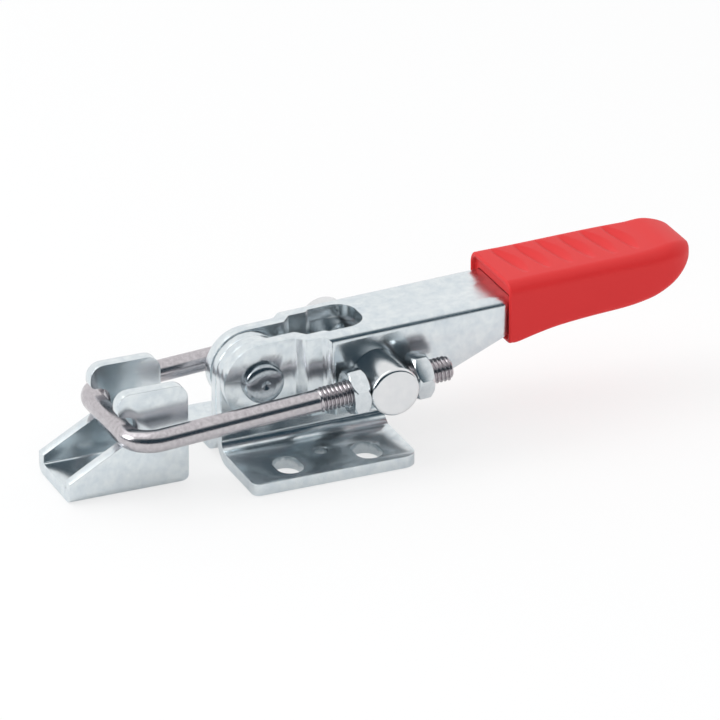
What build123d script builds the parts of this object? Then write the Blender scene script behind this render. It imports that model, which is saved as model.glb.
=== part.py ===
from build123d import *
import os
from math import acos, atan2, cos, hypot, radians, sin, tan

# Over centre toggle latch of the pull kind, shut, with its U-bolt hooked over the keeper.
# Millimetres. X runs across the latch, Y from the keeper to the grip, Z up from the mounting face.
# The origin is on the mounting face, at the middle of the four slots in the base.
# All pieces are symmetric about the plane X = 0 or come in mirrored pairs, apart from the turn of each nut.

# Clearances
run_gap = 0.05
side_gap = 0.05
hook_gap = 0.3
cross_hole_gap = 0.2
nut_bore_gap = 0.03
nut_seat_gap = 0.02
sleeve_gap = 0.05

# Sheet steel of the base, the lever and the keeper
sheet = 3.0

# Base
base_front = 21.3
base_rear = 20.3
flange_edge_margin = 2.4
flange_inner_bend = 3.0
flange_front_corner = 1.8
flange_rear_corner = 3.4
slot_pitch_along = 20.0
slot_pitch_across = 32.5
slot_width = 6.5
slot_length = 8.9
small_hole = 3.5
small_hole_across = 12.0
ear_radius = 9.3
ear_knee_y = 8.5
ear_knee_z = 8.0
ear_rear_z = 5.5
pivot_z = 20.3

# Pivot rivet
rivet_shank = 6.0
rivet_head = 10.0
rivet_rim = 0.6
rivet_crown = 2.2
rivet_flat = 5.0
rivet_mark = 2.4
rivet_mark_depth = 0.5

# Lever, drawn along its own axis from the pivot
lever_pitch = 2.2
arm_radius = 9.5
joggle_start = 8.2
joggle_end = 10.4
waist_width = 17.2
waist_end = 14.9
flare_end = 16.3
channel_width = 20.0
bend_round = 2.0
web_outer_bend = 2.2
web_inner_bend = 0.8
belly_x = 31.0
belly_drop = 11.5
belly_round = 9.0
throat_drop = 9.5
tail_rise_x = 60.0
tail_rise_drop = 0.2
tail_knee_x = 65.0
tail_knee_rise = 1.75
tail_end_x = 92.0
tail_end_rise = 3.6
window_width = 13.0
window_end_x = 27.2
window_corner = 5.0

# Trunnion, placed along the lever and below its axis
trunnion_reach = 26.9
trunnion_drop = 1.85
trunnion_diameter = 12.0
trunnion_overhang = 5.8
trunnion_edge = 0.9

# U-bolt and its nuts
shank_diameter = 5.3
thread_diameter = 6.0
thread_front = 18.0
thread_rear = 16.0
thread_chamfer = 0.7
bolt_length = 63.0
bolt_pitch = 3.8
bolt_corner = 6.5
nut_flats = 10.0
nut_height = 4.1
nut_corner_drop = 0.8
nut_countersink = 0.4
nut_wall_gap = 0.73

# Keeper
keeper_width = 20.0
keeper_bend = 2.0
keeper_inner_bend = 0.5
keeper_nose = 14.0
keeper_heel = 15.6
keeper_lip_z = 5.1
keeper_top_z = 25.4
hook_ramp_lead = 1.0
hook_rise = 1.4
hook_reach = 4.9
hook_tip_round = 1.5
ear_top_round = 3.5
keeper_heel_round = 2.5
keeper_hole = 5.5
keeper_hole_pitch = 12.0
keeper_hole_offset = 3.9

# Grip: rounded sections from mouth to nose, measured from the pivot
# Each is (distance behind the pivot, half width, lower height, upper height, corner radius)
grip_sections = (
    (60.7, 11.5, 0.3, 15.9, 2.6),
    (63.4, 11.5, 0.3, 16.0, 2.6),
    (68.5, 11.4, 1.5, 16.1, 2.6),
    (74.0, 11.4, 2.5, 16.25, 2.6),
    (82.0, 11.4, 3.3, 16.5, 2.6),
    (91.0, 11.4, 3.9, 16.75, 2.6),
    (96.0, 11.3, 4.5, 16.9, 2.6),
    (100.0, 11.1, 5.4, 17.1, 2.6),
    (104.0, 10.6, 7.2, 17.6, 2.6),
    (107.0, 9.4, 9.2, 17.2, 2.4),
    (109.3, 7.4, 11.3, 16.4, 1.8),
    (110.3, 5.2, 12.9, 15.4, 0.8),
)
groove_count = 6
groove_first_along = 66.4
groove_first_height = 16.05
groove_pitch = 5.76
groove_step_up = 0.16
groove_centre_x = -1.5
groove_length = 13.0
groove_slant = 9.0
groove_radius = 3.0
groove_depth = 0.7

# Places that follow from the sizes above
base_width = slot_pitch_across + slot_length + 2 * flange_edge_margin
pivot_y = ear_radius - base_front
pitch = radians(lever_pitch)
fall = radians(bolt_pitch)
arm_inner = sheet + side_gap
arm_outer = arm_inner + sheet
waist_outer = waist_width / 2
channel_outer = channel_width / 2
web_under = arm_radius - sheet
trunnion_y = pivot_y + trunnion_reach * cos(pitch) + trunnion_drop * sin(pitch)
trunnion_z = pivot_z + trunnion_reach * sin(pitch) - trunnion_drop * cos(pitch)
bar_y = trunnion_y - bolt_length * cos(fall)
bar_z = trunnion_z - bolt_length * sin(fall)
trunnion_radius = trunnion_diameter / 2
nut_corner = nut_flats / 2 / cos(radians(30))
leg_x = channel_outer + nut_corner + nut_wall_gap
trunnion_length = 2 * (leg_x + trunnion_overhang)
through = base_width

# Lever seen from the near side, from above and from its tail; U-bolt seen from above
lever_side = Plane(origin=(0, pivot_y, pivot_z), x_dir=(0, cos(pitch), sin(pitch)), z_dir=(1, 0, 0))
lever_top = Plane(origin=(0, pivot_y, pivot_z), x_dir=(0, cos(pitch), sin(pitch)), z_dir=(0, -sin(pitch), cos(pitch)))
lever_end = Plane(origin=(0, pivot_y, pivot_z), x_dir=(1, 0, 0), z_dir=(0, -cos(pitch), -sin(pitch)))
bolt_top = Plane(origin=(0, trunnion_y, trunnion_z), x_dir=(0, cos(fall), sin(fall)), z_dir=(0, -sin(fall), cos(fall)))
bolt_end = Plane(origin=(0, trunnion_y, trunnion_z), x_dir=(1, 0, 0), z_dir=(0, cos(fall), sin(fall)))

os.makedirs("parts", exist_ok=True)


def mirrored(points):
    """A closed outline from the points of its half on one side of the lever's axis."""
    return points + [(along, -across) for along, across in reversed(points)]


# Base halves: two L-shaped stampings back to back, ears up and flanges out
knee_reach = hypot(ear_knee_y - pivot_y, ear_knee_z - pivot_z)
tangent_turn = atan2(ear_knee_z - pivot_z, ear_knee_y - pivot_y) + acos(ear_radius / knee_reach)
tangent_y = pivot_y + ear_radius * cos(tangent_turn)
tangent_z = pivot_z + ear_radius * sin(tangent_turn)
ear_top_z = pivot_z + ear_radius
flange_outer_bend = flange_inner_bend + sheet

for half_name, side in (("near", 1), ("far", -1)):
    with BuildPart() as base_half:
        # the bent section, carried from the front edge to the rear edge
        with BuildSketch(Plane.XZ.offset(base_front)) as section:
            with BuildLine():
                Polyline(
                    (0, 0),
                    (side * base_width / 2, 0),
                    (side * base_width / 2, sheet),
                    (side * sheet, sheet),
                    (side * sheet, ear_top_z),
                    (0, ear_top_z),
                    close=True,
                )
            make_face()
            fillet(section.vertices().sort_by_distance((0, 0))[0], flange_outer_bend)
            fillet(section.vertices().sort_by_distance((side * sheet, sheet))[0], flange_inner_bend)
        extrude(amount=-base_front - base_rear)
        # the outline of the ear, round over the pivot and falling towards the rear
        with BuildSketch(Plane.YZ):
            with Locations((pivot_y, pivot_z)):
                Circle(ear_radius)
            Polygon(
                (-base_front, 0),
                (base_rear, 0),
                (base_rear, ear_rear_z),
                (ear_knee_y, ear_knee_z),
                (tangent_y, tangent_z),
                (pivot_y, pivot_z),
                (-base_front, pivot_z),
                align=None,
            )
        extrude(amount=through, both=True, mode=Mode.INTERSECT)
        corner_edges = base_half.edges().filter_by(Axis.Z).group_by(Axis.X)[-1 if side > 0 else 0]
        fillet(corner_edges.sort_by(Axis.Y)[0], flange_front_corner)
        corner_edges = base_half.edges().filter_by(Axis.Z).group_by(Axis.X)[-1 if side > 0 else 0]
        fillet(corner_edges.sort_by(Axis.Y)[-1], flange_rear_corner)
        # two slots across the flange, with a small round hole between them
        with BuildSketch(Plane.XY):
            with Locations(
                (side * slot_pitch_across / 2, -slot_pitch_along / 2),
                (side * slot_pitch_across / 2, slot_pitch_along / 2),
            ):
                SlotOverall(slot_length, slot_width)
            with Locations((side * small_hole_across, 0)):
                Circle(small_hole / 2)
        extrude(amount=sheet, mode=Mode.SUBTRACT)
        # the hole for the pivot rivet
        with BuildSketch(Plane.YZ):
            with Locations((pivot_y, pivot_z)):
                Circle(rivet_shank / 2 + run_gap)
        extrude(amount=through, both=True, mode=Mode.SUBTRACT)
    base_half.part.label = f"base_{half_name}_half"
    export_step(base_half.part, f"parts/{base_half.part.label}.step")


# Pivot rivet: a shank through both ears and both arms, with a set head on each end
head_x = arm_outer + side_gap

with BuildPart() as pivot_rivet:
    with BuildSketch(Plane(origin=(0, pivot_y, pivot_z), x_dir=(1, 0, 0), z_dir=(0, -1, 0))):
        with BuildLine():
            Polyline(
                (0, 0),
                (0, rivet_shank / 2),
                (head_x, rivet_shank / 2),
                (head_x, rivet_head / 2),
                (head_x + rivet_rim, rivet_head / 2),
            )
            Spline(
                (head_x + rivet_rim, rivet_head / 2),
                (head_x + rivet_crown, rivet_flat / 2),
                tangents=((1, 0), (0.1, -1)),
            )
            Polyline(
                (head_x + rivet_crown, rivet_flat / 2),
                (head_x + rivet_crown, rivet_mark / 2),
                (head_x + rivet_crown - rivet_mark_depth, 0),
                (0, 0),
            )
        make_face()
    revolve(axis=Axis((0, pivot_y, pivot_z), (1, 0, 0)))
    mirror(about=Plane.YZ)
pivot_rivet.part.label = "pivot_rivet"
export_step(pivot_rivet.part, "parts/pivot_rivet.step")


# Lever: a stamped channel, open below, whose front end is a fork of two arms
joggle_turn = atan2(waist_outer - arm_outer, joggle_end - joggle_start)
flare_turn = atan2(channel_outer - waist_outer, flare_end - waist_end)
joggle_shift = sheet * tan(joggle_turn / 2)
flare_shift = sheet * tan(flare_turn / 2)
window_half = window_width / 2
window_meets_wall = waist_end + flare_shift + (window_half - waist_outer + sheet) / tan(flare_turn)

outer_half = [
    (-arm_radius - sheet, arm_outer),
    (joggle_start, arm_outer),
    (joggle_end, waist_outer),
    (waist_end, waist_outer),
    (flare_end, channel_outer),
    (tail_end_x, channel_outer),
]
inner_half = [
    (-arm_radius - sheet, arm_outer - sheet),
    (joggle_start + joggle_shift, arm_outer - sheet),
    (joggle_end + joggle_shift, waist_outer - sheet),
    (waist_end + flare_shift, waist_outer - sheet),
    (flare_end + flare_shift, channel_outer - sheet),
    (tail_end_x + sheet, channel_outer - sheet),
]
window_outline = inner_half[:4] + [(window_meets_wall, window_half), (window_end_x, window_half)]

with BuildPart() as lever_hollow:
    with BuildSketch(lever_top):
        Polygon(*mirrored(inner_half), align=None)
    extrude(amount=through, both=True)
    with BuildSketch(lever_end):
        with Locations((0, web_under - through / 2)):
            RectangleRounded(2 * (channel_outer - sheet), through, web_inner_bend)
    extrude(amount=-2 * tail_end_x, both=True, mode=Mode.INTERSECT)

with BuildPart() as handle_channel:
    with BuildSketch(lever_top) as plan:
        Polygon(*mirrored(outer_half), align=None)
        bends = plan.vertices().filter_by(lambda v: joggle_start - sheet < v.X < flare_end + sheet)
        fillet(bends, bend_round)
    extrude(amount=through, both=True)
    # the outline seen from the side: round fork end, deep belly, tapering tail
    with BuildSketch(lever_side) as outline:
        with BuildLine():
            Line((0, arm_radius), (tail_end_x, arm_radius))
            Line((tail_end_x, arm_radius), (tail_end_x, tail_end_rise))
            Line((tail_end_x, tail_end_rise), (tail_knee_x, tail_knee_rise))
            Line((tail_knee_x, tail_knee_rise), (tail_rise_x, -tail_rise_drop))
            Line((tail_rise_x, -tail_rise_drop), (belly_x, -belly_drop))
            Line((belly_x, -belly_drop), (0, -throat_drop))
            ThreePointArc((0, -throat_drop), (-arm_radius, 0), (0, arm_radius))
        make_face()
        fillet(outline.vertices().sort_by_distance((belly_x, -belly_drop))[0], belly_round)
    extrude(amount=through, both=True, mode=Mode.INTERSECT)
    # the two bends along the top of the channel, which run out where the fork narrows
    with BuildSketch(lever_end):
        with Locations((0, arm_radius - through / 2)):
            RectangleRounded(channel_width, through, web_outer_bend)
    extrude(amount=-2 * tail_end_x, both=True, mode=Mode.INTERSECT)
    add(lever_hollow.part, mode=Mode.SUBTRACT)
    # the window between the arms
    with BuildSketch(lever_top) as window:
        Polygon(*mirrored(window_outline), align=None)
        fillet(window.vertices().filter_by(lambda v: v.X > window_end_x - run_gap), window_corner)
    extrude(amount=through, mode=Mode.SUBTRACT)
    # holes for the rivet and the trunnion
    with BuildSketch(lever_side):
        Circle(rivet_shank / 2 + run_gap)
        with Locations((trunnion_reach, -trunnion_drop)):
            Circle(trunnion_radius + run_gap)
    extrude(amount=through, both=True, mode=Mode.SUBTRACT)
handle_channel.part.label = "handle_channel"
export_step(handle_channel.part, "parts/handle_channel.step")


# Trunnion: a round bar across the lever, cross-drilled near each end for the legs of the U-bolt
with BuildPart() as trunnion:
    with BuildSketch(Plane.YZ.offset(-trunnion_length / 2)):
        with Locations((trunnion_y, trunnion_z)):
            Circle(trunnion_radius)
    extrude(amount=trunnion_length)
    fillet(trunnion.edges(), trunnion_edge)
    with BuildSketch(bolt_end):
        with Locations((-leg_x, 0), (leg_x, 0)):
            Circle(thread_diameter / 2 + cross_hole_gap)
    extrude(amount=trunnion_diameter, both=True, mode=Mode.SUBTRACT)
trunnion.part.label = "trunnion"
export_step(trunnion.part, "parts/trunnion.step")


# U-bolt: one bent rod, its legs threaded where they pass through the trunnion
with BuildPart() as u_bolt:
    with BuildLine(bolt_top) as rod_path:
        FilletPolyline(
            (-thread_front, -leg_x),
            (-bolt_length, -leg_x),
            (-bolt_length, leg_x),
            (-thread_front, leg_x),
            radius=bolt_corner,
        )
    with BuildSketch(bolt_end.offset(-thread_front)):
        with Locations((leg_x, 0)):
            Circle(shank_diameter / 2)
    sweep(path=rod_path.line)
    with BuildSketch(bolt_end.offset(-thread_front)):
        with Locations((-leg_x, 0), (leg_x, 0)):
            Circle(thread_diameter / 2)
    extrude(amount=thread_front + thread_rear)
    chamfer(u_bolt.edges().filter_by(GeomType.CIRCLE).group_by(Axis.Y)[-1], thread_chamfer)
u_bolt.part.label = "u_bolt"
export_step(u_bolt.part, "parts/u_bolt.step")


# Nuts: one on each side of the trunnion on each leg, drawn up tight against it
nut_bore = thread_diameter / 2 + nut_bore_gap
front_seat = -trunnion_radius - nut_seat_gap - nut_height
rear_seat = trunnion_radius + nut_seat_gap
nut_places = (
    ("nut_near_front", leg_x, front_seat, 40),
    ("nut_near_rear", leg_x, rear_seat, 52),
    ("nut_far_front", -leg_x, front_seat, 34),
    ("nut_far_rear", -leg_x, rear_seat, 57),
)

for nut_name, nut_x, nut_seat, nut_turn in nut_places:
    nut_plane = bolt_end.offset(nut_seat)
    nut_axis = Axis(nut_plane.from_local_coords(Vector(nut_x, 0, 0)), nut_plane.z_dir)
    with BuildPart() as nut:
        with BuildSketch(nut_plane):
            with Locations((nut_x, 0)):
                RegularPolygon(nut_flats / 2, 6, major_radius=False, rotation=nut_turn)
        extrude(amount=nut_height)
        # corners taken off at both faces by a cone, and the bore with its countersinks
        with BuildSketch(Plane(origin=nut_axis.position, x_dir=(1, 0, 0), z_dir=(0, sin(fall), -cos(fall)))):
            Polygon(
                (nut_bore + nut_countersink, 0),
                (nut_flats / 2, 0),
                (nut_corner, -nut_corner_drop),
                (nut_corner, nut_corner_drop - nut_height),
                (nut_flats / 2, -nut_height),
                (nut_bore + nut_countersink, -nut_height),
                (nut_bore, nut_countersink - nut_height),
                (nut_bore, -nut_countersink),
                align=None,
            )
        revolve(axis=nut_axis, mode=Mode.INTERSECT)
    nut.part.label = nut_name
    export_step(nut.part, f"parts/{nut_name}.step")


# Keeper: a channel, open above, whose two walls carry hooks for the crossbar
hook_half = shank_diameter / 2 + hook_gap
hook_floor_z = bar_z - hook_half
hook_back_y = bar_y + hook_half
hook_roof_z = bar_z + hook_half + hook_rise
hook_tip_y = hook_back_y - hook_reach
keeper_front_y = bar_y - keeper_nose
keeper_rear_y = bar_y + keeper_heel

with BuildPart() as keeper:
    with BuildSketch(Plane.XZ.offset(-keeper_front_y)):
        with Locations((0, keeper_width)):
            RectangleRounded(keeper_width, 2 * keeper_width, keeper_bend)
            RectangleRounded(
                keeper_width - 2 * sheet, 2 * (keeper_width - sheet), keeper_inner_bend, mode=Mode.SUBTRACT
            )
    extrude(amount=keeper_front_y - keeper_rear_y)
    # the outline seen from the side: ramp, hook mouth facing away from the latch, and ear
    with BuildSketch(Plane.YZ) as hook:
        Polygon(
            (keeper_front_y, 0),
            (keeper_front_y, keeper_lip_z),
            (bar_y - hook_ramp_lead, hook_floor_z),
            (hook_back_y, hook_floor_z),
            (hook_back_y, hook_roof_z),
            (hook_tip_y, hook_roof_z),
            (hook_tip_y, keeper_top_z),
            (keeper_rear_y, keeper_top_z),
            (keeper_rear_y, 0),
            align=None,
        )
        fillet(hook.vertices().sort_by_distance((hook_back_y, hook_floor_z))[0], hook_half)
        fillet(hook.vertices().sort_by_distance((hook_back_y, hook_roof_z))[0], hook_half)
        fillet(hook.vertices().sort_by_distance((hook_tip_y, hook_roof_z))[0], hook_tip_round)
        fillet(hook.vertices().sort_by_distance((hook_tip_y, keeper_top_z))[0], ear_top_round)
        fillet(hook.vertices().sort_by_distance((keeper_rear_y, keeper_top_z))[0], ear_top_round)
        fillet(hook.vertices().sort_by_distance((keeper_rear_y, 0))[0], keeper_heel_round)
    extrude(amount=through, both=True, mode=Mode.INTERSECT)
    with BuildSketch(Plane.XY):
        with Locations((0, bar_y + keeper_hole_offset)):
            with GridLocations(1, keeper_hole_pitch, 1, 2):
                Circle(keeper_hole / 2)
    extrude(amount=sheet, mode=Mode.SUBTRACT)
keeper.part.label = "keeper"
export_step(keeper.part, "parts/keeper.step")


# Grip: a soft sleeve pulled over the tail of the lever, closed at its rear end
pocket_end_x = tail_end_x + sleeve_gap
pocket_outline = [
    (tail_rise_x, -tail_rise_drop - sleeve_gap),
    (tail_knee_x, tail_knee_rise - sleeve_gap),
    (pocket_end_x, tail_end_rise - sleeve_gap),
    (pocket_end_x, arm_radius + sleeve_gap),
    (tail_rise_x, arm_radius + sleeve_gap),
]

with BuildPart() as grip_pocket:
    with BuildSketch(lever_side):
        Polygon(*pocket_outline, align=None)
    extrude(amount=channel_outer + sleeve_gap, both=True)
    with BuildSketch(lever_end):
        with Locations((0, arm_radius + sleeve_gap - through / 2)):
            RectangleRounded(channel_width + 2 * sleeve_gap, through, web_outer_bend)
    extrude(amount=-2 * tail_end_x, both=True, mode=Mode.INTERSECT)

with BuildPart() as grip:
    for along, half_wide, low, high, corner in grip_sections:
        with BuildSketch(Plane.XZ.offset(-pivot_y - along)):
            with Locations((0, pivot_z + (low + high) / 2)):
                RectangleRounded(2 * half_wide, high - low, corner)
    loft()
    add(grip_pocket.part, mode=Mode.SUBTRACT)
    # shallow grooves across the top, deepest in the middle and fading out at both ends
    slant = radians(groove_slant)
    groove_first_y = pivot_y + groove_first_along
    groove_first_z = pivot_z + groove_first_height + groove_radius - groove_depth
    for index in range(groove_count):
        groove_y = groove_first_y + index * groove_pitch
        centre = Vector(groove_centre_x, groove_y, groove_first_z + index * groove_step_up)
        along_groove = Vector(cos(slant), sin(slant), 0)
        with BuildSketch(Plane(origin=centre, x_dir=along_groove, z_dir=(0, 0, 1))):
            with BuildLine():
                Polyline(
                    (groove_length / 2, groove_radius - groove_depth),
                    (groove_length / 2, 0),
                    (-groove_length / 2, 0),
                    (-groove_length / 2, groove_radius - groove_depth),
                )
                ThreePointArc(
                    (-groove_length / 2, groove_radius - groove_depth),
                    (0, groove_radius),
                    (groove_length / 2, groove_radius - groove_depth),
                )
            make_face()
        revolve(axis=Axis(centre, along_groove), mode=Mode.SUBTRACT)
grip.part.label = "grip"
export_step(grip.part, "parts/grip.step")
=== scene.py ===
# %% [markdown]
# # An over centre toggle latch
# The latch is a handful of stamped, bent and turned steel pieces, all bright zinc plated, and one soft
# red grip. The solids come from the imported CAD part; this script rounds their edges, cuts the thread,
# shapes the grip and gives every piece its finish. X runs across the latch, Y from the keeper to the
# grip and Z up, and every length is in metres.

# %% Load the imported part
import math

import bmesh
import bpy
import numpy as np
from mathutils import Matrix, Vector


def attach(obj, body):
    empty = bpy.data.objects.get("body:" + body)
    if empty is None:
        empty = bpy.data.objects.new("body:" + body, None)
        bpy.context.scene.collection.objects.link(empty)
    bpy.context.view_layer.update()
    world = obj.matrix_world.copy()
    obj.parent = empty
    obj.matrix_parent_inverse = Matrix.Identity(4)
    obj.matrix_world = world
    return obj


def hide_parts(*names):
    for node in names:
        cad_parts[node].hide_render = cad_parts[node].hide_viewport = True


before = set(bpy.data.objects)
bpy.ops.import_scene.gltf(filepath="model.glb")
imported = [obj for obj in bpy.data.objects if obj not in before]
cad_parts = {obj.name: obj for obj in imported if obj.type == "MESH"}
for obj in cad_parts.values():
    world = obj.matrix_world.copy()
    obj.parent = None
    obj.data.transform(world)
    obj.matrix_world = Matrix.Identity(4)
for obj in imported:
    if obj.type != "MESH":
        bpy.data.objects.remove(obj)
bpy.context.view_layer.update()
MM = 0.001
print("nodes:", sorted(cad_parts))

# %% [markdown]
# ## Colours and node helper
# A colour picker gives sRGB, but light adds up in linear values, so each hex code goes through the
# standard sRGB curve once. Materials are built from nodes, and one small function makes a node, fills
# in its settings and links its inputs, which keeps each material short enough to read as a recipe.


# %% Colour and node helpers
def linear(hex_code):
    """sRGB hex to linear RGBA: divide by 12.92 near black, else the 2.4 power curve."""
    srgb = np.array([int(hex_code[i:i + 2], 16) for i in (1, 3, 5)]) / 255
    rgb = np.where(srgb <= 0.04045, srgb / 12.92, ((srgb + 0.055) / 1.055) ** 2.4)
    return (*rgb.tolist(), 1.0)


def node(tree, kind, settings=None, values=None, links=None):
    """Adds a node: settings are its properties, values its sockets' numbers, links its inputs' sources."""
    made = tree.nodes.new(kind)
    for name, value in (settings or {}).items():
        setattr(made, name, value)
    for name, value in (values or {}).items():
        made.inputs[name].default_value = value
    for name, source in (links or {}).items():
        tree.links.new(source, made.inputs[name])
    return made


def new_material(name):
    """An empty node material and the node that its surface plugs into."""
    material = bpy.data.materials.new(name)
    material.use_nodes = True
    tree = material.node_tree
    tree.nodes.clear()
    return material, tree, tree.nodes.new("ShaderNodeOutputMaterial")


GRIP_RED = "#DE2E2F"
print("grip red in linear light:", [round(v, 3) for v in linear(GRIP_RED)])

# %% [markdown]
# ## Bright zinc plate
# Bright zinc is electroplated onto the finished stampings. It is smooth enough to mirror its
# neighbours, with the faint waviness of cold-rolled sheet and a slight blue-white cast from the
# clear passivation. A metal's colour is its base colour, and its roughness decides how sharp the
# mirrored shapes are; a low bump at the scale of rolled sheet bends them a little. The plate doesn't
# grow evenly, so one noise moves the tint and the haze together: duller patches are rougher too.


# %% Zinc finishes
PATCHES_PER_WAVE = 2.5
DULL_BELOW, BRIGHT_ABOVE = 0.3, 0.65
DULL_HAZE, BRIGHT_HAZE = 1.2, 0.9


def zinc(name, colour, dull, roughness, wave_mm, wave_depth_mm):
    """Bright zinc plate: metallic, low waves of the size given, and patches from dull to bright."""
    material, tree, output = new_material(name)
    coords = node(tree, "ShaderNodeTexCoord")
    waves = node(
        tree, "ShaderNodeTexNoise",
        values={"Scale": 1 / (wave_mm * MM), "Detail": 2.0, "Roughness": 0.45},
        links={"Vector": coords.outputs["Object"]},
    )
    bump = node(
        tree, "ShaderNodeBump",
        values={"Strength": 1.0, "Distance": wave_depth_mm * MM},
        links={"Height": waves.outputs["Fac"]},
    )
    mottle = node(
        tree, "ShaderNodeTexNoise",
        values={"Scale": PATCHES_PER_WAVE / (wave_mm * MM), "Detail": 6.0, "Roughness": 0.65},
        links={"Vector": coords.outputs["Object"]},
    )
    patches = node(
        tree, "ShaderNodeMapRange",
        values={"From Min": DULL_BELOW, "From Max": BRIGHT_ABOVE},
        links={"Value": mottle.outputs["Fac"]},
    )
    haze = node(
        tree, "ShaderNodeMapRange",
        values={"To Min": DULL_HAZE * roughness, "To Max": BRIGHT_HAZE * roughness},
        links={"Value": patches.outputs["Result"]},
    )
    tint = node(
        tree, "ShaderNodeMix",
        settings={"data_type": "RGBA"},
        links={"Factor": patches.outputs["Result"]},
    )
    tint.inputs["A"].default_value = linear(dull)
    tint.inputs["B"].default_value = linear(colour)
    shader = node(
        tree, "ShaderNodeBsdfPrincipled",
        values={"Metallic": 1.0},
        links={
            "Base Color": tint.outputs["Result"],
            "Roughness": haze.outputs["Result"],
            "Normal": bump.outputs["Normal"],
        },
    )
    tree.links.new(shader.outputs["BSDF"], output.inputs["Surface"])
    return material


zinc_sheet = zinc("bright_zinc_rolled_sheet", "#E2E8EA", "#D0D9DF", 0.22, 7.0, 0.014)
zinc_rod = zinc("bright_zinc_drawn_rod", "#C6C2C5", "#B2ADB1", 0.22, 2.5, 0.01)
zinc_nut = zinc("bright_zinc_forged_nut", "#DDE2E5", "#D0D7DB", 0.2, 4.0, 0.008)
turned_steel = zinc("bright_zinc_turned_bar", "#E2E3E4", "#DADCDE", 0.17, 8.0, 0.004)
rivet_steel = zinc("zinc_plated_set_rivet", "#B9C0C5", "#A1A9AF", 0.2, 1.6, 0.02)
print("zinc finishes:", zinc_sheet.name, zinc_rod.name, zinc_nut.name, turned_steel.name, rivet_steel.name)

# %% [markdown]
# ## Soft red grip
# The grip is moulded from soft PVC. The mould is lightly textured, so the surface has a satin sheen
# rather than a mirror gloss, and a fine grain that breaks up the highlight.


# %% Grip finish
def moulded_pvc(name, colour, roughness, grain_mm, grain_depth_mm):
    """Soft moulded plastic: one colour, satin, with a fine moulding grain."""
    material, tree, output = new_material(name)
    coords = node(tree, "ShaderNodeTexCoord")
    grain = node(
        tree, "ShaderNodeTexNoise",
        values={"Scale": 1 / (grain_mm * MM), "Detail": 3.0, "Roughness": 0.6},
        links={"Vector": coords.outputs["Object"]},
    )
    bump = node(
        tree, "ShaderNodeBump",
        values={"Strength": 1.0, "Distance": grain_depth_mm * MM},
        links={"Height": grain.outputs["Fac"]},
    )
    shader = node(
        tree, "ShaderNodeBsdfPrincipled",
        values={"Base Color": linear(colour), "Roughness": roughness, "Specular IOR Level": 0.3},
        links={"Normal": bump.outputs["Normal"]},
    )
    tree.links.new(shader.outputs["BSDF"], output.inputs["Surface"])
    return material


red_pvc = moulded_pvc("moulded_soft_red_pvc", GRIP_RED, 0.5, 1.2, 0.012)
print("grip finish:", red_pvc.name)

# %% [markdown]
# ## Rounded edges on the stampings
# A press leaves no razor edges: the die rolls one side of each cut over and plating fills the rest, so
# every edge catches a thin line of light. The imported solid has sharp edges. A copy of its mesh is
# welded, flat triangles are merged into whole faces, and a narrow Bevel rounds what is left.


# %% Edge rounding
WELD = 1e-6
FLAT_WITHIN = math.radians(0.3)
EDGE_ABOVE = math.radians(32)
STAMPED_EDGE_MM, NUT_EDGE_MM = 0.35, 0.15


def rounded_copy(cad_node, name, material, body, edge_mm):
    """A welded copy of a CAD node with its edges rounded by edge_mm, standing for that node."""
    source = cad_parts[cad_node]
    mesh = source.data.copy()
    mesh.name = name
    work = bmesh.new()
    work.from_mesh(mesh)
    bmesh.ops.remove_doubles(work, verts=work.verts, dist=WELD)
    bmesh.ops.dissolve_limit(work, angle_limit=FLAT_WITHIN, verts=work.verts, edges=work.edges)
    work.to_mesh(mesh)
    work.free()
    piece = bpy.data.objects.new(name, mesh)
    bpy.context.scene.collection.objects.link(piece)
    mesh.materials.clear()
    mesh.materials.append(material)
    mesh.shade_smooth()
    bevel = piece.modifiers.new("rounded edges", "BEVEL")
    bevel.width = edge_mm * MM
    bevel.segments = 3
    bevel.limit_method = "ANGLE"
    bevel.angle_limit = EDGE_ABOVE
    bevel.use_clamp_overlap = True
    bevel.harden_normals = True
    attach(piece, body)
    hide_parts(cad_node)
    return piece


for cad_node, material, body, slot, edge_mm in (
    ("base_near_half", zinc_sheet, "base", "zinc_sheet", STAMPED_EDGE_MM),
    ("base_far_half", zinc_sheet, "base", "zinc_sheet", STAMPED_EDGE_MM),
    ("keeper", zinc_sheet, "base", "zinc_sheet", STAMPED_EDGE_MM),
    ("handle_channel", zinc_sheet, "lever", "zinc_sheet", STAMPED_EDGE_MM),
    ("nut_near_front", zinc_nut, "pull_bolt", "zinc_nut", NUT_EDGE_MM),
    ("nut_near_rear", zinc_nut, "pull_bolt", "zinc_nut", NUT_EDGE_MM),
    ("nut_far_front", zinc_nut, "pull_bolt", "zinc_nut", NUT_EDGE_MM),
    ("nut_far_rear", zinc_nut, "pull_bolt", "zinc_nut", NUT_EDGE_MM),
):
    piece = rounded_copy(cad_node, f"{cad_node}_plated", material, body, edge_mm)
    print(piece.name, "faces", len(piece.data.polygons))

for cad_node, material in (("trunnion", turned_steel), ("pivot_rivet", rivet_steel)):
    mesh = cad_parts[cad_node].data
    for index in range(len(mesh.materials)):
        mesh.materials[index] = material

# %% [markdown]
# ## Surfaces as grids
# The U-bolt and the grip are tubes of a kind: a closed outline carried along a line. Each is one grid
# of points, rows along the line and columns around it, joined into quads, with a single point closing
# each end.


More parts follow.
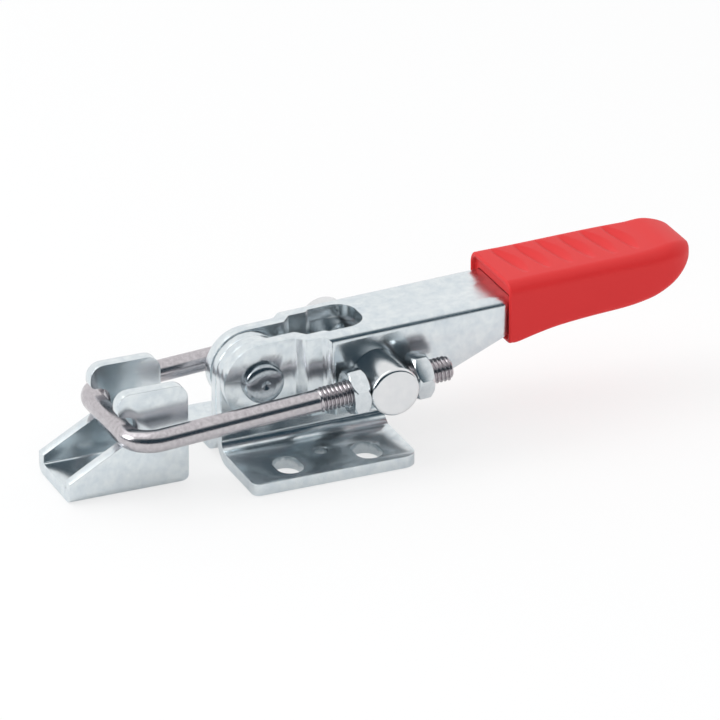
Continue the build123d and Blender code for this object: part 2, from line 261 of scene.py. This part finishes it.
# %% Grid to mesh
def tube_piece(name, rings, first_point, last_point, material, body, cad_node):
    """Mesh from rings[row, column, xyz] in mm: quads between neighbouring rows, and a fan at each end."""
    rows, columns = rings.shape[:2]
    points = np.concatenate([rings.reshape(-1, 3), [first_point], [last_point]]) * MM
    index = np.arange(rows * columns).reshape(rows, columns)
    turned_index = np.roll(index, -1, axis=1)
    quads = np.stack([index[:-1], turned_index[:-1], turned_index[1:], index[1:]], axis=-1).reshape(-1, 4)
    start = np.full(columns, rows * columns)
    fans = [np.stack([start, turned_index[0], index[0]], axis=-1),
            np.stack([start + 1, index[-1], turned_index[-1]], axis=-1)]
    mesh = bpy.data.meshes.new(name)
    mesh.from_pydata(points.tolist(), [], quads.tolist() + np.concatenate(fans).tolist())
    mesh.materials.append(material)
    mesh.shade_smooth()
    mesh.update()
    piece = bpy.data.objects.new(name, mesh)
    bpy.context.scene.collection.objects.link(piece)
    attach(piece, body)
    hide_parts(cad_node)
    print(name, "rows", rows, "columns", columns, "triangles", 2 * rows * columns)
    return piece


# %% [markdown]
# ## U-bolt with rolled threads
# The U-bolt is one rod, drawn to 5.3 mm, bent cold, and threaded M6 by rolling. Rolling pushes steel
# out of the grooves into the crests, so the thread stands proud of the plain rod and fades into it
# over a turn or so. The thread is a radius that depends on how far along the rod a point is and on
# its turn around it: one pitch along for each full turn, which is a right-hand helix.

# %% U-bolt line
TRUNNION_Y, TRUNNION_Z = 14.9512, 19.4840
BOLT_FALL = math.radians(3.8)
LEG_X = 16.5035
BOLT_LENGTH, BOLT_CORNER = 63.0, 6.5
THREAD_FRONT, THREAD_REAR = 18.0, 16.0
SHANK_RADIUS, CREST_RADIUS, ROOT_RADIUS = 2.65, 2.99, 2.36
THREAD_PITCH, THREAD_FADE, THREAD_CHAMFER = 1.0, 1.3, 0.7
THREAD_VALLEY, THREAD_FLANK = 0.14, 0.74
ROWS_PER_PITCH, AROUND = 12, 48
SHANK_ROWS, CORNER_ROWS = 6, 15

leg_straight = THREAD_REAR + BOLT_LENGTH - BOLT_CORNER
threaded = THREAD_FRONT + THREAD_REAR
quarter = BOLT_CORNER * math.pi / 2
bar_straight = 2 * (LEG_X - BOLT_CORNER)
whole = 2 * leg_straight + 2 * quarter + bar_straight
thread_rows = np.arange(0, threaded, THREAD_PITCH / ROWS_PER_PITCH)
shank_rows = np.linspace(threaded, leg_straight, SHANK_ROWS)
corner_rows = np.linspace(leg_straight, leg_straight + quarter, CORNER_ROWS)[1:]
half_rows = np.concatenate([thread_rows, shank_rows, corner_rows])
along = np.concatenate([half_rows, whole - half_rows[::-1]])


def bolt_line(distance):
    """Position and heading in the bolt's own plane: leg, quarter circle, crossbar, quarter circle, leg."""
    mirrored = distance > whole / 2
    d = np.where(mirrored, whole - distance, distance)
    turn = np.clip((d - leg_straight) / BOLT_CORNER, 0, math.pi / 2)
    back = THREAD_REAR - np.minimum(d, leg_straight) - BOLT_CORNER * np.sin(turn)
    side = LEG_X - BOLT_CORNER * (1 - np.cos(turn)) - np.maximum(d - leg_straight - quarter, 0)
    sign = np.where(mirrored, -1.0, 1.0)
    return back, sign * side, -np.cos(turn) * sign, -np.sin(turn)


def thread_radius(distance, angle):
    """Radius: root plus a blunt triangle wave of the helix phase, fading into the shank, chamfered."""
    from_end = np.minimum(distance, whole - distance)
    wave = np.abs(2 * ((distance / THREAD_PITCH - angle / (2 * math.pi)) % 1.0) - 1)
    flank = np.clip((wave - THREAD_VALLEY) / THREAD_FLANK, 0, 1)
    thread = ROOT_RADIUS + (CREST_RADIUS - ROOT_RADIUS) * flank
    reach = np.clip((threaded - from_end) / THREAD_FADE, 0, 1)
    radius = SHANK_RADIUS + reach * (thread - SHANK_RADIUS)
    return np.minimum(radius, CREST_RADIUS - THREAD_CHAMFER + from_end)


# %% U-bolt piece
back, side, head_back, head_side = (value[:, None] for value in bolt_line(along))
angle = np.linspace(0, 2 * math.pi, AROUND, endpoint=False)[None, :]
radius = thread_radius(along[:, None], angle)
# outward lies in the bolt's plane, square to the heading
outward = radius * np.cos(angle)
upward = radius * np.sin(angle)
flat_x = side - outward * head_back
flat_back = back + outward * head_side
bolt_rings = np.stack([
    flat_x,
    TRUNNION_Y + flat_back * math.cos(BOLT_FALL) - upward * math.sin(BOLT_FALL),
    TRUNNION_Z + flat_back * math.sin(BOLT_FALL) + upward * math.cos(BOLT_FALL),
], axis=-1)
leg_end = (TRUNNION_Y + THREAD_REAR * math.cos(BOLT_FALL), TRUNNION_Z + THREAD_REAR * math.sin(BOLT_FALL))
tube_piece(
    "u_bolt_threaded", bolt_rings, (LEG_X, *leg_end), (-LEG_X, *leg_end),
    zinc_rod, "pull_bolt", "u_bolt",
)

# %% [markdown]
# ## Grip sleeve
# The grip is moulded PVC, warmed and pulled over the tail of the lever. Its outline is a rounded
# rectangle whose width, height and corners change from the mouth to the nose, so a short table of
# sections and a smooth curve through them give the whole form. The outline turns in at the mouth,
# steps back to a ledge that hugs the lever, and carries on inside as the pocket. Six shallow scallops
# cross the top, for the thumb: each has a short wall on the mouth's side and a longer ramp behind it.

# %% Grip sections
PIVOT_Y, PIVOT_Z = -12.0, 20.3
# distance behind the pivot, half width, low, high, top corner, bottom corner
GRIP_OUTSIDE = np.array([
    (61.4, 10.4, 1.6, 14.45, 2.1, 0.9),
    (60.85, 10.6, 1.3, 14.8, 2.3, 1.1),
    (60.71, 11.0, 0.85, 15.35, 2.6, 1.4),
    (61.05, 11.45, 0.38, 15.88, 2.9, 1.6),
    (61.7, 11.5, 0.3, 15.95, 3.0, 1.7),
    (63.4, 11.5, 0.35, 16.0, 3.0, 1.7),
    (68.5, 11.4, 1.5, 16.1, 3.0, 1.7),
    (74.0, 11.4, 2.5, 16.25, 3.0, 1.8),
    (82.0, 11.4, 3.3, 16.5, 3.0, 1.9),
    (91.0, 11.4, 3.9, 16.75, 3.0, 2.0),
    (96.0, 11.3, 4.5, 16.9, 3.1, 2.2),
    (100.0, 11.1, 5.4, 17.1, 3.3, 2.4),
    (104.0, 10.6, 7.2, 17.55, 3.3, 2.5),
    (107.0, 9.4, 9.2, 17.2, 3.0, 2.4),
    (109.2, 7.4, 11.3, 16.4, 2.0, 1.8),
    (110.1, 5.2, 12.9, 15.5, 1.2, 1.1),
    (110.3, 2.6, 13.7, 14.8, 0.5, 0.4),
])
GRIP_INSIDE = np.array([
    (92.0, 10.06, 7.0, 13.1, 2.2, 0.4),
    (82.0, 10.06, 6.0, 12.7, 2.2, 0.4),
    (68.0, 10.06, 4.5, 12.16, 2.2, 0.4),
    (65.0, 10.06, 4.15, 12.05, 2.2, 0.4),
    (62.0, 10.06, 3.0, 11.95, 2.2, 0.4),
    (61.8, 10.25, 2.4, 12.6, 2.2, 0.8),
    (61.75, 10.35, 1.75, 14.2, 2.0, 0.9),
])
GROOVES, GROOVE_FIRST, GROOVE_PITCH = 6, 66.4, 5.76
GROOVE_X, GROOVE_LENGTH, GROOVE_SLANT = -1.5, 16.0, math.radians(9.0)
GROOVE_DEPTH, GROOVE_WALL, GROOVE_RAMP, GROOVE_RAMP_LEAST = 1.0, 1.3, 2.5, 0.2
# the scallops keep clear of the lip, and fade over this height below the top
LIP_KNOTS, GROOVE_REACH = 3, 2.5
OUTSIDE_STEPS, INSIDE_STEPS = 20, 4
GRIP_POCKET_END, GRIP_NOSE_END = (92.0, 10.0), (110.3, 14.25)


def smooth_between(knots, steps):
    """Catmull-Rom curve through rows of knots: a cubic between each two, with shared end slopes."""
    padded = np.concatenate([knots[:1], knots, knots[-1:]])
    t = np.linspace(0, 1, steps, endpoint=False)[None, :, None]
    before, start, end, after = (padded[k:len(padded) - 3 + k, None, :] for k in range(4))
    curve = 0.5 * (2 * start + (end - before) * t + (2 * before - 5 * start + 4 * end - after) * t ** 2
                   + (3 * start - before - 3 * end + after) * t ** 3)
    return np.concatenate([curve.reshape(-1, knots.shape[1]), knots[-1:]])


def rounded_outline(sections, top_count=64, arc_count=12, side_count=14):
    """Around each section: top edge, corner, side, corner, bottom edge, and the same back up."""
    half, low, high, top_round, low_round = (sections[:, k:k + 1] for k in range(1, 6))
    edge = np.linspace(0, 1, top_count // 2, endpoint=False)[None, :]
    arc = np.linspace(0, math.pi / 2, arc_count, endpoint=False)[None, :]
    drop = np.linspace(0, 1, side_count, endpoint=False)[None, :]
    right_x = np.concatenate([
        edge * (half - top_round),
        half - top_round + top_round * np.sin(arc),
        half + 0 * drop,
        half - low_round + low_round * np.cos(arc),
        (1 - edge) * (half - low_round),
    ], axis=1)
    right_z = np.concatenate([
        high + 0 * edge,
        high - top_round + top_round * np.cos(arc),
        high - top_round - drop * (high - top_round - low - low_round),
        low + low_round - low_round * np.sin(arc),
        low + 0 * edge,
    ], axis=1)
    # the left half is the right half mirrored; both middles are given once
    x = np.concatenate([right_x, 0 * half, -right_x[:, :0:-1]], axis=1)
    z = np.concatenate([right_z, low, right_z[:, :0:-1]], axis=1)
    return x, z


def groove_depth(x, distance):
    """Deepest of the scallops: a short wall, then a ramp, both eased, fading as a parabola sideways."""
    depth = np.zeros_like(x)
    for index in range(GROOVES):
        off_x = x - GROOVE_X
        off_y = distance - (GROOVE_FIRST + index * GROOVE_PITCH)
        across = off_y * math.cos(GROOVE_SLANT) - off_x * math.sin(GROOVE_SLANT)
        fade = np.clip(1 - (2 * off_x / GROOVE_LENGTH) ** 2, 0, 1)
        wall = np.clip(1 + across / GROOVE_WALL, 0, 1)
        ramp = np.clip(1 - across / (GROOVE_RAMP_LEAST + GROOVE_RAMP * fade), 0, 1)
        wall, ramp = (value ** 2 * (3 - 2 * value) for value in (wall, ramp))
        depth = np.maximum(depth, GROOVE_DEPTH * fade * wall * ramp)
    return depth


# %% Grip piece
outside = smooth_between(GRIP_OUTSIDE, OUTSIDE_STEPS)
inside = smooth_between(GRIP_INSIDE, INSIDE_STEPS)
sections = np.concatenate([inside, outside])
outline_x, outline_z = rounded_outline(sections)
distance = np.broadcast_to(sections[:, :1], outline_x.shape)
behind_lip = (np.arange(len(sections)) >= len(inside) + LIP_KNOTS * OUTSIDE_STEPS)[:, None]
near_top = np.clip(1 - (sections[:, 3:4] - outline_z) / GROOVE_REACH, 0, 1)
outline_z = outline_z - behind_lip * near_top * groove_depth(outline_x, distance)
grip_rings = np.stack([outline_x, PIVOT_Y + distance, PIVOT_Z + outline_z], axis=-1)
pocket_end, nose_end = ((0, PIVOT_Y + y, PIVOT_Z + z) for y, z in (GRIP_POCKET_END, GRIP_NOSE_END))
tube_piece("grip_sleeve", grip_rings, pocket_end, nose_end, red_pvc, "lever", "grip")

# %% [markdown]
# ## Camera
# The photograph was taken from far away with a long lens, so parallel edges stay almost parallel. The
# camera stands 1.5 m off, above the near side and turned towards the keeper's end.

# %% Camera
VIEW_AZIMUTH = math.radians(66.5)
VIEW_ELEVATION = math.radians(25.3)
VIEW_DISTANCE = 1.5
PICTURE_WIDTH = 169.2 * MM
SENSOR_WIDTH = 36.0
aim = Vector((0.0, 15.3 * MM, 18.2 * MM))
back = Vector((
    math.sin(VIEW_AZIMUTH) * math.cos(VIEW_ELEVATION),
    -math.cos(VIEW_AZIMUTH) * math.cos(VIEW_ELEVATION),
    math.sin(VIEW_ELEVATION),
))
camera_data = bpy.data.cameras.new("camera")
camera_data.sensor_width = SENSOR_WIDTH
camera_data.lens = SENSOR_WIDTH * VIEW_DISTANCE / PICTURE_WIDTH
camera = bpy.data.objects.new("camera", camera_data)
camera.location = aim + VIEW_DISTANCE * back
camera.rotation_euler = back.to_track_quat("Z", "Y").to_euler()
bpy.context.scene.collection.objects.link(camera)
bpy.context.scene.camera = camera
print("lens:", round(camera_data.lens), "mm")

# %% [markdown]
# ## Floor, world and lamps
# A pale floor and a pale surrounding are what a bright metal needs, since it shows nothing but its
# surroundings. The side of the room behind the camera is darker, as in a studio, and that draws the
# thin dark lines along the bends. Large soft lamps give the shape without hard shadows.

# %% Floor
FLOOR_HALF, FLOOR_DROP = 3.0, 0.0002
FLOOR_WHITE_SEEN, FLOOR_WHITE_MIRRORED = 0.72, 0.25
floor_material, floor_tree, floor_output = new_material("pale_floor")
floor_shader = node(
    floor_tree, "ShaderNodeBsdfPrincipled",
    values={"Base Color": linear("#F6F6F6"), "Roughness": 0.9, "Specular IOR Level": 0.0},
)
white = node(floor_tree, "ShaderNodeEmission", values={"Color": (1, 1, 1, 1), "Strength": 1.0})
floor_ray = node(floor_tree, "ShaderNodeLightPath")
mirrored = node(
    floor_tree, "ShaderNodeMath",
    settings={"operation": "MULTIPLY"},
    values={1: FLOOR_WHITE_MIRRORED},
    links={0: floor_ray.outputs["Is Glossy Ray"]},
)
seen = node(
    floor_tree, "ShaderNodeMath",
    settings={"operation": "MULTIPLY_ADD"},
    values={1: FLOOR_WHITE_SEEN},
    links={0: floor_ray.outputs["Is Camera Ray"], 2: mirrored.outputs["Value"]},
)
floor_mix = node(
    floor_tree, "ShaderNodeMixShader",
    links={0: seen.outputs["Value"], 1: floor_shader.outputs["BSDF"], 2: white.outputs["Emission"]},
)
floor_tree.links.new(floor_mix.outputs["Shader"], floor_output.inputs["Surface"])
floor_mesh = bpy.data.meshes.new("floor")
floor_corners = [
    (FLOOR_HALF * x, FLOOR_HALF * y, -FLOOR_DROP) for x, y in ((-1, -1), (1, -1), (1, 1), (-1, 1))
]
floor_mesh.from_pydata(floor_corners, [], [(0, 1, 2, 3)])
floor_mesh.materials.append(floor_material)
floor = bpy.data.objects.new("floor", floor_mesh)
bpy.context.scene.collection.objects.link(floor)

# %% World
# from behind the camera towards the backdrop: the dark side of the room, its edge, then white
ROOM = (
    (0.0, (0.025, 0.05, 0.07, 1)),
    (0.12, (0.16, 0.22, 0.25, 1)),
    (0.34, (1, 1, 1, 1)),
)
CEILING_LEAN = 1.05
world = bpy.data.worlds.new("studio")
world.use_nodes = True
bpy.context.scene.world = world
world_tree = world.node_tree
world_tree.nodes.clear()
world_output = world_tree.nodes.new("ShaderNodeOutputWorld")
direction = node(world_tree, "ShaderNodeTexCoord")
turned = node(
    world_tree, "ShaderNodeMapping",
    settings={"vector_type": "POINT"},
    values={"Rotation": (0, 0, -VIEW_AZIMUTH)},
    links={"Vector": direction.outputs["Generated"]},
)
split = node(world_tree, "ShaderNodeSeparateXYZ", links={"Vector": turned.outputs["Vector"]})
# the dark side reaches from the floor to about 50 degrees up; above it hangs a white ceiling
height = node(
    world_tree, "ShaderNodeMath",
    settings={"operation": "MULTIPLY_ADD"},
    values={1: CEILING_LEAN},
    links={0: split.outputs["Z"], 2: split.outputs["Y"]},
)
room = node(world_tree, "ShaderNodeValToRGB", links={"Fac": height.outputs["Value"]})
for position, colour in ROOM:
    stop = room.color_ramp.elements.new(position)
    stop.color = colour
room.color_ramp.elements.remove(room.color_ramp.elements[-1])
room.color_ramp.elements.remove(room.color_ramp.elements[0])
ray = node(world_tree, "ShaderNodeLightPath")
mix = node(
    world_tree, "ShaderNodeMix",
    settings={"data_type": "RGBA"},
    links={"Factor": ray.outputs["Is Camera Ray"]},
)
world_tree.links.new(room.outputs["Color"], mix.inputs["A"])
mix.inputs["B"].default_value = (1, 1, 1, 1)
background = node(world_tree, "ShaderNodeBackground", values={"Strength": 1.0})
world_tree.links.new(mix.outputs["Result"], background.inputs["Color"])
world_tree.links.new(background.outputs["Background"], world_output.inputs["Surface"])


# %% Lamps
def soft_lamp(name, azimuth, elevation, distance, size, power, mirrored):
    """A square area lamp aimed at the latch from the azimuth and elevation given in degrees."""
    turn, lift = math.radians(azimuth), math.radians(elevation)
    away = Vector((math.sin(turn) * math.cos(lift), -math.cos(turn) * math.cos(lift), math.sin(lift)))
    data = bpy.data.lights.new(name, "AREA")
    data.shape = "SQUARE"
    data.size = size
    data.energy = power
    lamp = bpy.data.objects.new(name, data)
    lamp.location = aim + distance * away
    lamp.rotation_euler = away.to_track_quat("Z", "Y").to_euler()
    lamp.visible_glossy = mirrored
    bpy.context.scene.collection.objects.link(lamp)


soft_lamp("overhead", -40, 60, 1.2, 0.9, 1.5, mirrored=True)
soft_lamp("keeper side", -12, 26, 1.3, 0.5, 5.5, mirrored=True)
# this lamp lifts the grip's side; the steel doesn't mirror it, as with a lamp well off the axis
soft_lamp("front", 80, 12, 1.4, 1.0, 6.5, mirrored=False)

bpy.context.scene.view_settings.view_transform = "Standard"
